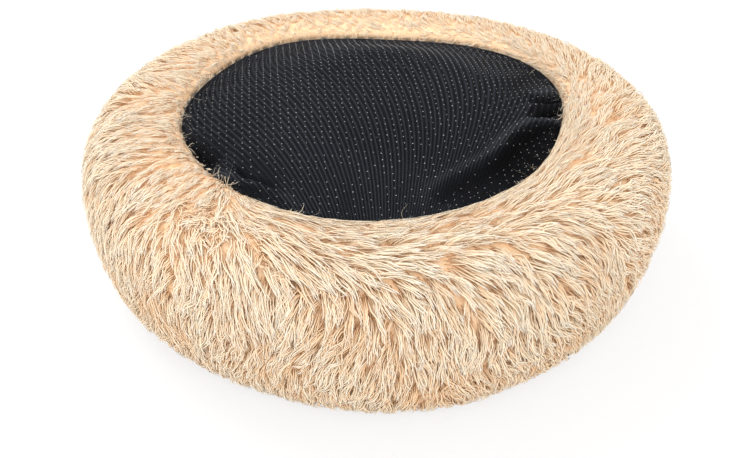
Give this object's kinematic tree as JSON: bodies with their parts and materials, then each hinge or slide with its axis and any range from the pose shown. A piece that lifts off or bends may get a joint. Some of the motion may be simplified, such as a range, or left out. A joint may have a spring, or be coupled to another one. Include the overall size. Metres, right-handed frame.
{
  "type": "pet bed",
  "caption": "Round plush pet bed shown base up: a stuffed long-pile ring sewn round a padded base of black non-slip cloth, with a plush nest beneath.",
  "frame": {"origin": "middle of the rim that the bed lies on, in the plane of that rim, with the bed upside down as it is pictured", "axes": "+Z is the bed's own axis, out of the black base; the nest opens towards -Z; -Y faces the camera of the picture, +X is to its right; for use the bed is turned half a turn about X"},
  "size_m": [0.6, 0.6, 0.2169],
  "materials": {
    "plush": "matte",
    "grip_cloth": "matte",
    "fibre": "matte",
    "thread": "matte"
  },
  "bodies": {
    "root": {"bolster_cover": "plush", "nest_wall": "plush", "bolster_fill": "fibre", "base_cloth": "grip_cloth", "base_fill": "fibre", "nest_cloth": "plush", "edge_seam": "thread", "closing_seam": "thread", "cover_join_seam": "thread"}
  },
  "joints": []
}
